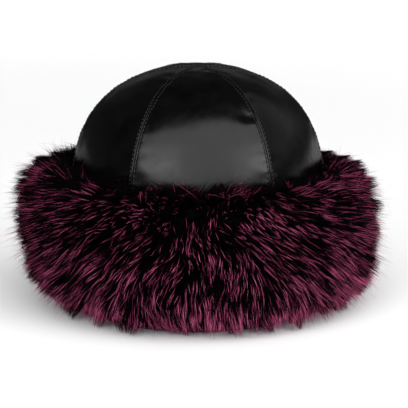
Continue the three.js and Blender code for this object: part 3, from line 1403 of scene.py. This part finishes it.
class HairTree(MeshNodes):
    """The tree that grows hair in tufts and locks out of a sheet."""

    INPUTS = {
        "Float": ("density", "low_tone", "high_tone", *[name for name in COAT_INPUTS if name != "segments"]),
        "Int": ("segments", "seed", "lock_seed"),
        "Material": ("Material",),
    }
    CENTRE_DENSITY = 4.0e5  # of tufts or locks in a square metre, at the most
    CENTRE_WANDER = 0.8  # how far the tip of a tuft or lock strays, in spacings
    CENTRE_REACH: Span = (0.8, 1.08)  # shares of the reach at that place
    DRIFT_PULL = 0.25
    TONES: Span = (0.01, 0.98)
    THICKNESSES: Span = (0.7, 1.25)  # shares of the radius
    LEAST_LEFT = 0.001  # share of a hair's length beyond a point of it, at the least
    BEND = 0.6  # share of its rise that a hair makes before it bends over
    SIDE_WAY = (0.31, 0.22, 0.93)  # crossed with a hair's own way to find its sides
    TAPER = 3.5

    def __init__(self, floor: float) -> None:
        """Builds the tree.

        Args:
            floor: The height in metres that no tip goes below.
        """
        super().__init__("grow_hair", self.INPUTS)
        self.place = self.add("GeometryNodeInputPosition").outputs[0]
        hairs = self.copies(self.roots(floor), self.straight_hair())
        moved = self.add("GeometryNodeSetPosition", {"Geometry": hairs, "Position": self.bent()})
        tone, along = self.attribute("hair_tone", "FLOAT"), self.attribute("hair_along", "FLOAT")
        spot = self.add("ShaderNodeCombineXYZ", {0: tone, 1: along}).outputs[0]
        self.finish(self.store(moved.outputs[0], BAKE_MAP, spot, "FLOAT2", "CORNER"))

    def gathered(self, tip: Socket, kind: str, pull: Socket, seed: Socket, shift: int) -> tuple[Socket, ...]:
        """Draws tips towards the tip of the nearest tuft or lock.

        Args:
            tip: The tips.
            kind: The word tuft or lock.
            pull: How far they are drawn.
            seed: Fixes where the tufts or locks are.
            shift: Added to the seed.

        Returns:
            The drawn tips, the middles of the tufts or locks, and the number of the nearest one.
        """
        spacing = self.given[f"{kind}_spacing"]
        inputs = {"Mesh": self.given["Geometry"], "Distance Min": spacing}
        inputs |= {"Density Max": self.CENTRE_DENSITY, "Seed": self.shifted(seed, shift)}
        spread = self.add("GeometryNodeDistributePointsOnFaces", inputs, distribute_method="POISSON")
        centres = spread.outputs["Points"]
        nearest = self.add("GeometryNodeSampleNearest", {"Geometry": centres}).outputs["Index"]
        wander = self.scaled(self.random_vector(self.CENTRE_WANDER, seed, 10), spacing)
        way = self.scaled(self.attribute("reach"), self.random(*self.CENTRE_REACH, seed, 11))
        middle_tip = self.vector("ADD", self.vector("ADD", self.place, way), wander)
        target = self.sample(centres, middle_tip, nearest, "FLOAT_VECTOR")
        return self.blend(Blend.VECTOR, pull, tip, target), centres, nearest

    def roots(self, floor: float) -> Socket:
        """Scatters the roots, with each hair's ends, tone and thickness kept on its root.

        Args:
            floor: The height in metres that no tip goes below.

        Returns:
            The roots as points.
        """
        seed, lock_seed = self.given["seed"], self.given["lock_seed"]
        density = self.math("MULTIPLY", self.given["density"], self.attribute("crowding", "FLOAT"))
        inputs = {"Mesh": self.given["Geometry"], "Density": density, "Seed": seed}
        scatter = self.add("GeometryNodeDistributePointsOnFaces", inputs, distribute_method="RANDOM")

        # The tip that each hair would have by itself
        spread = self.math("MULTIPLY", self.given["reach_spread"], self.random(-1.0, 1.0, seed, 1))
        way = self.scaled(self.attribute("reach"), self.math("ADD", self.given["reach"], spread))
        wander = self.scaled(self.random_vector(1.0, seed, 2), self.given["stray"])
        tip = self.vector("ADD", self.vector("ADD", self.place, way), wander)

        # Tufts, then locks of tufts, and no tip in the floor
        tip, tufts, tuft = self.gathered(tip, "tuft", self.given["tuft_pull"], seed, 3)
        lock_pull = self.math("MULTIPLY", self.given["lock_pull"], self.attribute("clumping", "FLOAT"))
        tip, _, _ = self.gathered(tip, "lock", lock_pull, lock_seed, 4)
        parts = self.add("ShaderNodeSeparateXYZ", {0: tip}).outputs
        high = self.math("MAXIMUM", parts[2], floor)
        tip = self.add("ShaderNodeCombineXYZ", {0: parts[0], 1: parts[1], 2: high}).outputs[0]

        # Dark tufts among dyed ones, shifted by the drift: patches of dye, and painted light and shade over
        # the fur
        tuft_tone = self.sample(tufts, self.random(0.0, 1.0, seed, 12), tuft, "FLOAT")
        own_tone = self.random(self.given["low_tone"], self.given["high_tone"], seed, 5)
        tone = self.blend(Blend.NUMBER, self.given["tuft_tone"], own_tone, tuft_tone)
        drift = self.math("SUBTRACT", self.attribute("drift", "FLOAT"), 0.5)
        tone = self.math("ADD", tone, self.math("MULTIPLY", drift, self.DRIFT_PULL))
        clamp = {"Value": tone, "Min": self.TONES[0], "Max": self.TONES[1]}
        tone = self.add("ShaderNodeClamp", clamp).outputs[0]
        size = self.math("MULTIPLY", self.given["radius"], self.random(*self.THICKNESSES, seed, 6))

        points = scatter.outputs["Points"]
        for name, value in (("hair_tip", tip), ("hair_root", self.place)):
            points = self.store(points, name, value, "FLOAT_VECTOR")
        for name, value in (("hair_tone", tone), ("hair_size", size)):
            points = self.store(points, name, value, "FLOAT")
        return points

    def straight_hair(self) -> Socket:
        """Makes one straight hair, a unit long and a unit in radius.

        Returns:
            The hair, with each point's share of its length and place in its section kept on it.
        """
        inputs = {"Vertices": 3, "Radius Top": 0.0, "Radius Bottom": 1.0, "Depth": 1.0}
        hair = self.add("GeometryNodeMeshCone", inputs | {"Side Segments": self.given["segments"]})
        along = self.add("ShaderNodeSeparateXYZ", {0: self.place}).outputs[2]
        left = self.math("MAXIMUM", self.math("SUBTRACT", 1.0, along), self.LEAST_LEFT)
        flat = self.vector("MULTIPLY", self.place, (1.0, 1.0, 0.0))
        side = self.scaled(flat, self.math("DIVIDE", 1.0, left))
        mesh = self.store(hair.outputs["Mesh"], "hair_along", along, "FLOAT")
        return self.store(mesh, "hair_side", side, "FLOAT_VECTOR")

    def bent(self) -> Socket:
        """Bends each hair from its root's own way over to its tip, and thins it to a point.

        Returns:
            The place of each point of the hair.
        """
        along = self.attribute("hair_along", "FLOAT")
        start, end = self.attribute("hair_root"), self.attribute("hair_tip")
        bend = self.vector("ADD", start, self.scaled(self.attribute("rise"), self.BEND))
        legs = [self.blend(Blend.VECTOR, along, *leg) for leg in ((start, bend), (bend, end))]
        line = self.blend(Blend.VECTOR, along, *legs)
        lean = self.vector("NORMALIZE", self.vector("SUBTRACT", end, start))
        first = self.vector("NORMALIZE", self.vector("CROSS_PRODUCT", lean, self.SIDE_WAY))
        second = self.vector("CROSS_PRODUCT", lean, first)
        taper = self.math("SUBTRACT", 1.0, self.math("POWER", along, self.TAPER))
        thickness = self.math("MULTIPLY", self.attribute("hair_size", "FLOAT"), taper)
        section = self.add("ShaderNodeSeparateXYZ", {0: self.attribute("hair_side")}).outputs
        sides = [
            self.scaled(way, self.math("MULTIPLY", part, thickness))
            for way, part in ((first, section[0]), (second, section[1]))
        ]
        return self.vector("ADD", line, self.vector("ADD", *sides))


@dataclass(frozen=True)
class FurCuff:
    """A ring of dense dark wool, with hair that fans out of it and is combed down."""

    shape: FurShape
    sectors: tuple[str, ...] = ("front", "right", "back", "left")
    seed_step: int = 31  # from one sector to the next
    lock_seed: int = 100  # one pattern of locks in a sector, for all its coats
    finish: DyedFur = DyedFur()
    coats: tuple[Coat, ...] = (
        Coat(
            "fur_locks", count=38000, segments=2, radius=0.35, reach=0.80, reach_spread=0.12,
            stray=2.5, tuft_spacing=3.0, tuft_pull=0.4, tuft_tone=0.3, lock_spacing=11.0,
            lock_pull=0.42, tone=(-0.5, 0.30), seed=3,
        ),
        Coat(
            "fur_dyed_hairs", count=15500, segments=3, radius=0.19, reach=0.98, reach_spread=0.14,
            stray=3.6, tuft_spacing=4.5, tuft_pull=0.3, tuft_tone=0.15, lock_spacing=11.0,
            lock_pull=0.3, tone=(-0.4, 1.0), seed=9, root=0.15,
        ),
        Coat(
            "fur_collar", count=6500, segments=2, radius=0.3, reach=0.9, reach_spread=0.22,
            stray=4.0, tuft_spacing=4.0, tuft_pull=0.15, tuft_tone=0.5, lock_spacing=15.0,
            lock_pull=0.0, tone=(-0.4, 0.66), seed=51, places=(0.9, 1.0), upright=1.0, lean=0.3,
        ),
        Coat(
            "fur_stray_strands", count=240, segments=5, radius=0.13, reach=1.15, reach_spread=0.35,
            stray=7.0, tuft_spacing=9.0, tuft_pull=0.0, tuft_tone=0.0, lock_spacing=20.0,
            lock_pull=0.0, tone=(0.0, 0.9), seed=61, places=(0.86, 1.0), upright=1.0, lean=0.35,
        ),
        Coat(
            "fur_guard_hairs", count=5500, segments=3, radius=0.17, reach=1.06, reach_spread=0.13,
            stray=5.0, tuft_spacing=5.0, tuft_pull=0.25, tuft_tone=0.3, lock_spacing=11.0,
            lock_pull=0.25, tone=(-0.1, 1.0), seed=21, root=0.15,
        ),
        Coat(
            "fur_wisps", count=2400, segments=3, radius=0.14, reach=1.3, reach_spread=0.15,
            stray=5.0, tuft_spacing=9.0, tuft_pull=0.1, tuft_tone=0.1, lock_spacing=20.0,
            lock_pull=0.1, tone=(0.3, 0.9), seed=34,
        ),
    )

    def crowded_area(self, mesh: bpy.types.Mesh) -> float:
        """Gives a sheet's area, with each face counted by how crowded its roots are.

        Args:
            mesh: The sheet.

        Returns:
            The area in square metres.
        """
        crowding = np.empty(len(mesh.vertices), np.float32)
        mesh.attributes["crowding"].data.foreach_get("value", crowding)
        corners = np.array([polygon.vertices[0] for polygon in mesh.polygons])
        areas = np.array([polygon.area for polygon in mesh.polygons])
        return float((areas * crowding[corners]).sum())

    def grow(self, tree: HairTree, coat: Coat, sector: int, material: Material) -> bpy.types.Object:
        """Grows one coat of hair in one sector.

        Args:
            tree: The tree that grows hair.
            coat: The kind of hair.
            sector: The sector's number.
            material: The hair's material.

        Returns:
            The hair as one plain mesh.
        """
        share = len(self.sectors)
        step = 2 * math.pi / share
        start = -math.pi / 2 + (sector - 0.5) * step
        sheet = HairSheet(self.shape)
        piece = sheet.build(f"{coat.name}_{self.sectors[sector]}", coat, start, start + step)
        values = {name: getattr(coat, name) * unit for name, unit in COAT_INPUTS.items()}
        values |= {
            "density": coat.count / share / self.crowded_area(piece.data),
            "low_tone": coat.tone[0],
            "high_tone": coat.tone[1],
            "seed": coat.seed + sector * self.seed_step,
            "lock_seed": self.lock_seed + sector,
            "Material": material,
        }
        return tree.apply(piece, values)

    def build(self) -> list[bpy.types.Object]:
        """Builds the cuff.

        Returns:
            Its wool and its hair.
        """
        pieces = [WoolRing(self.shape).build()]
        material = self.finish.make()
        tree = HairTree(self.shape.floor_clearance * MM)
        for coat in self.coats:
            pieces += [self.grow(tree, coat, sector, material) for sector in range(len(self.sectors))]
        for piece in pieces:
            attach(piece, BODY)
            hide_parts("fur_cuff")
        return pieces


# The studio


@dataclass(frozen=True)
class SoftLight:
    """A soft light with a rectangular face, placed by its direction from the hat."""

    name: str
    azimuth: float
    elevation: float
    distance: float
    width: float
    height: float
    strength: float  # radiance at its middle, as it would show in a mirror
    roll: float = 0.0
    softness: float = 0.25  # share of its half width over which its edge fades
    aim_height: float = 90.0

    def fade(self, nodes: ShaderNodes) -> Socket:
        """Makes the light fade towards its edges.

        Args:
            nodes: The light's nodes.

        Returns:
            The share of its full strength at each place on its face.
        """
        spot = nodes.add("ShaderNodeNewGeometry").outputs["Parametric"]
        middle = nodes.add("ShaderNodeVectorMath", {0: spot, 1: (0.5, 0.5, 0.0)}, operation="SUBTRACT")
        parts = nodes.add("ShaderNodeSeparateXYZ", {0: middle.outputs[0]})
        edge = (0.5 * (1 - self.softness), 0.5)
        away = [nodes.math("ABSOLUTE", parts.outputs[axis]) for axis in (0, 1)]
        return nodes.math("MULTIPLY", *[nodes.ramp(distance, edge, (1.0, 0.0)) for distance in away])

    def make(self) -> bpy.types.Object:
        """Hangs the light.

        Returns:
            The light.
        """
        light = bpy.data.lights.new(self.name, "AREA")
        light.shape = "RECTANGLE"
        light.size, light.size_y = self.width * MM, self.height * MM
        light.energy = self.strength * light.size * light.size_y * math.pi
        light.use_nodes = True
        nodes = ShaderNodes(light.node_tree)
        glow = nodes.add("ShaderNodeEmission", {"Strength": self.fade(nodes)})
        nodes.add("ShaderNodeOutputLight", {"Surface": glow.outputs[0]})
        back = direction(self.azimuth, self.elevation)
        lamp = bpy.data.objects.new(self.name, light)
        lamp.location = Vector((0, 0, self.aim_height * MM)) + back * (self.distance * MM)
        lamp.rotation_mode = "QUATERNION"
        roll = Quaternion((0, 0, 1), math.radians(self.roll))
        lamp.rotation_quaternion = back.to_track_quat("Z", "Y") @ roll
        bpy.context.scene.collection.objects.link(lamp)
        return lamp


@dataclass(frozen=True)
class Studio:
    """A pale floor, a white surround, soft lights and the camera."""

    floor: PaleFloor = PaleFloor()
    floor_half: float = 6000.0
    soft_fill: float = 0.42  # what the surround adds to matt surfaces
    mirror_fill: float = 0.03  # and to shiny ones
    shown_surround: float = 1.0  # how bright it looks itself
    azimuth: float = -1.72  # of the camera
    elevation: float = 12.0
    distance: float = 1500.0
    frame_pixels: float = 408.0
    pixels_per_mm: float = 1.262
    sensor: float = 36.0
    clip: Span = (0.05, 50.0)  # metres
    target: tuple[float, float, float] = (4.7, 0.0, 75.1)
    pivot: tuple[float, float, float] = (0.0, 0.0, 95.0)
    lights: tuple[SoftLight, ...] = (
        SoftLight(
            "front_softbox", azimuth=9.0, elevation=41.0, distance=4000.0,
            width=7700.0, height=4900.0, strength=2.9, roll=12.0, softness=0.2,
        ),
        SoftLight(
            "front_low_light", azimuth=-34.0, elevation=22.0, distance=3600.0,
            width=3200.0, height=2000.0, strength=3.2, roll=10.0, softness=0.8,
        ),
        SoftLight(
            "right_low_light", azimuth=46.0, elevation=20.0, distance=3600.0,
            width=2600.0, height=2600.0, strength=4.5, roll=-10.0, softness=0.95,
        ),
        SoftLight(
            "right_softbox", azimuth=112.0, elevation=30.0, distance=4000.0,
            width=4500.0, height=3500.0, strength=0.24,
        ),
        SoftLight(
            "back_softbox", azimuth=180.0, elevation=18.0, distance=4500.0,
            width=5000.0, height=500.0, strength=0.2,
        ),
    )

    def make_floor(self) -> None:
        """Lays the floor."""
        half = self.floor_half
        corners = np.array([[-half, -half, 0], [half, -half, 0], [half, half, 0], [-half, half, 0]])
        face = np.array([[0, 1, 2, 3]])
        make_object("studio_floor", corners, face, materials=(self.floor.make(),))

    def make_surround(self) -> None:
        """Makes the surround white to look at, and dim in reflections."""
        world = bpy.data.worlds.new("studio")
        bpy.context.scene.world = world
        world.use_nodes = True
        nodes = ShaderNodes(world.node_tree)
        path = nodes.add("ShaderNodeLightPath")
        soft = nodes.math("MULTIPLY", path.outputs["Is Diffuse Ray"], self.soft_fill)
        fill = nodes.math("ADD", soft, self.mirror_fill)
        shown = nodes.math("MULTIPLY", path.outputs["Is Camera Ray"], self.shown_surround)
        strength = nodes.math("MAXIMUM", fill, shown)
        glow = nodes.add("ShaderNodeBackground", {"Color": WHITE, "Strength": strength})
        nodes.add("ShaderNodeOutputWorld", {"Surface": glow.outputs[0]})

    def make_camera(self) -> None:
        """Sets the camera at the photograph's place."""
        place = Vector(self.pivot) + direction(self.azimuth, self.elevation) * self.distance
        lens = bpy.data.cameras.new("photo_camera")
        lens.sensor_width = self.sensor
        lens.lens = self.pixels_per_mm * self.distance / self.frame_pixels * self.sensor
        lens.clip_start, lens.clip_end = self.clip
        camera = bpy.data.objects.new("photo_camera", lens)
        camera.location = place * MM
        camera.rotation_mode = "QUATERNION"
        camera.rotation_quaternion = (place - Vector(self.target)).to_track_quat("Z", "Y")
        bpy.context.scene.collection.objects.link(camera)
        bpy.context.scene.camera = camera

    def build(self) -> None:
        """Builds the studio."""
        self.make_camera()
        self.make_floor()
        self.make_surround()
        for light in self.lights:
            light.make()
        bpy.context.scene.view_settings.view_transform = "Standard"


def main() -> None:
    """Builds the hat and its studio, and reports each piece."""
    logging.basicConfig(level=logging.INFO, format="%(name)s: %(message)s")
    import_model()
    Studio().build()
    crown_shape = CrownShape()
    pieces = LeatherCrown(crown_shape).build()
    pieces += FurCuff(FurShape(crown_shape)).build()
    total = 0
    for piece in pieces:
        count = triangle_count(piece)
        total += count
        LOG.info("%s: %d triangles", piece.name, count)
    LOG.info("all pieces: %d triangles", total)


if __name__ == "__main__":
    main()
